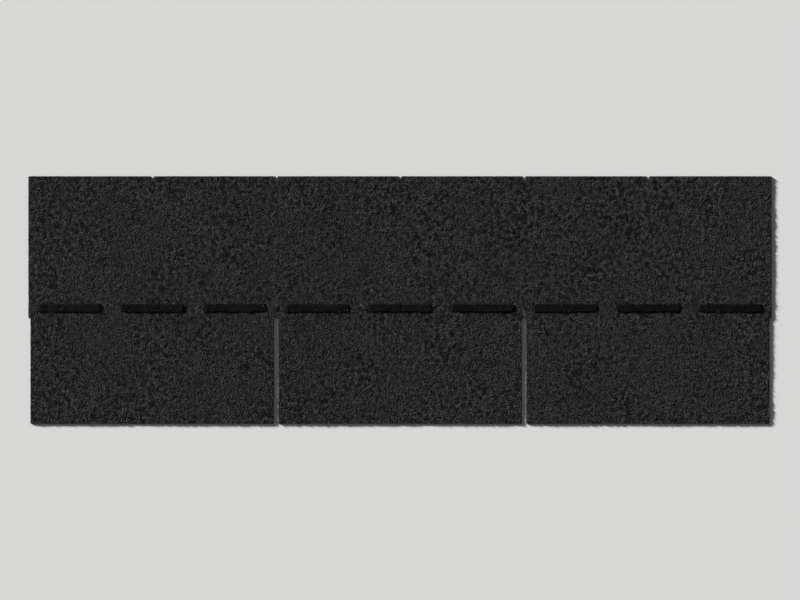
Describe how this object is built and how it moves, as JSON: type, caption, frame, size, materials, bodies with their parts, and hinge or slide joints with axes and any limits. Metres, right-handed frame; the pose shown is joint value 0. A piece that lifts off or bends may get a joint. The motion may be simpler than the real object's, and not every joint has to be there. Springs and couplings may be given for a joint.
{
  "type": "three-tab asphalt shingle",
  "caption": "Flat granule-faced asphalt roofing strip, cut into tabs along its lower edge, with a broken line of adhesive across its face and a release tape on its back.",
  "frame": {"origin": "middle of the underside, as the shingle lies flat on a level floor", "axes": "+X along the eave, which is the long way; +Y up the roof slope, from the tabs to the head lap; +Z out of the roof, granule side up"},
  "size_m": [0.9144, 0.3048, 0.0035],
  "materials": {
    "granule_sheet": "rough mineral granules bedded in asphalt, near black",
    "adhesive": "smooth black asphalt adhesive, satin",
    "film": "thin glossy polyester tape over black asphalt"
  },
  "bodies": {
    "root": {"shingle_sheet": "granule_sheet", "seal_strip": "adhesive", "release_film": "film"}
  },
  "joints": []
}
